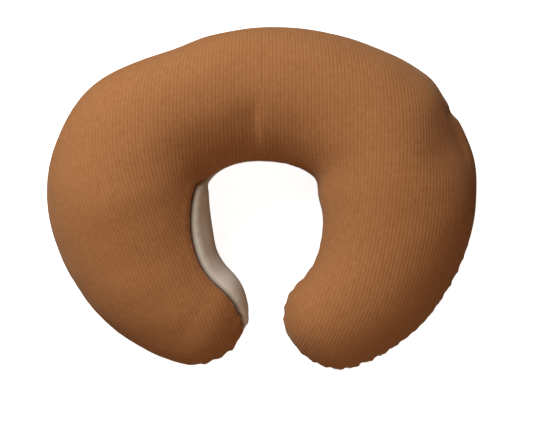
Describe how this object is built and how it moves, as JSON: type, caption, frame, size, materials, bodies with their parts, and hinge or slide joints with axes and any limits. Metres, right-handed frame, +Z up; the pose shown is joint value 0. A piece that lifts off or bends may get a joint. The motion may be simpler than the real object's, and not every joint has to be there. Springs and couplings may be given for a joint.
{
  "type": "nursing pillow",
  "caption": "Horseshoe-shaped stuffed nursing pillow with a zipped cover of ribbed knit over woven cotton.",
  "frame": {"origin": "centre of the pillow's plan box, on the surface that it lies on", "axes": "+Z up, +Y towards the closed back, -Y towards the open arms, +X to the right seen from above with the back away"},
  "size_m": [0.5291, 0.418, 0.16],
  "materials": {
    "ribbed_knit": "fine ribbed cotton knit, matt with a soft nap",
    "woven_cotton": "smooth plain-woven cotton",
    "brown_thread": "sewing thread",
    "cream_thread": "sewing thread",
    "white_thread": "sewing thread",
    "zip_tape": "twill-woven polyester tape",
    "zip_coil": "nylon coil",
    "zip_metal": "satin antique zinc alloy",
    "label_satin": "satin woven label, blank",
    "casing_cotton": "plain cotton casing",
    "polyester_fibre": "loose siliconised fibre"
  },
  "bodies": {
    "root": {"cover_top_panel": "ribbed_knit", "cover_bottom_panel": "woven_cotton", "cover_seam_thread": "brown_thread", "zip_tape_upper": "zip_tape", "zip_tape_lower": "zip_tape", "zip_coil_upper": "zip_coil", "zip_coil_lower": "zip_coil", "zip_top_stops": "zip_metal", "zip_bottom_stop": "zip_metal", "zip_topstitch_upper": "brown_thread", "zip_topstitch_lower": "cream_thread", "zip_bartacks": "brown_thread", "cover_care_label": "label_satin", "casing_top_panel": "casing_cotton", "casing_bottom_panel": "casing_cotton", "casing_seam_thread": "white_thread", "casing_closure_stitching": "white_thread", "casing_label": "label_satin", "fill": "polyester_fibre"},
    "zip_slider": {"zip_slider": "zip_metal"},
    "zip_pull": {"zip_pull": "zip_metal"}
  },
  "joints": [
    {"name": "zip_travel", "type": "hinge", "parent": "root", "child": "zip_slider", "pos_m": [0.014, -0.118, 0.04532], "axis": [0, 0, 1], "range_deg": [0, 53.6]},
    {"name": "zip_pull_swing", "type": "hinge", "parent": "zip_slider", "child": "zip_pull", "pos_m": [0.19026, 0.15655, 0.04377], "axis": [0.8415, -0.5402, 0], "range_deg": [-20, 150]}
  ]
}
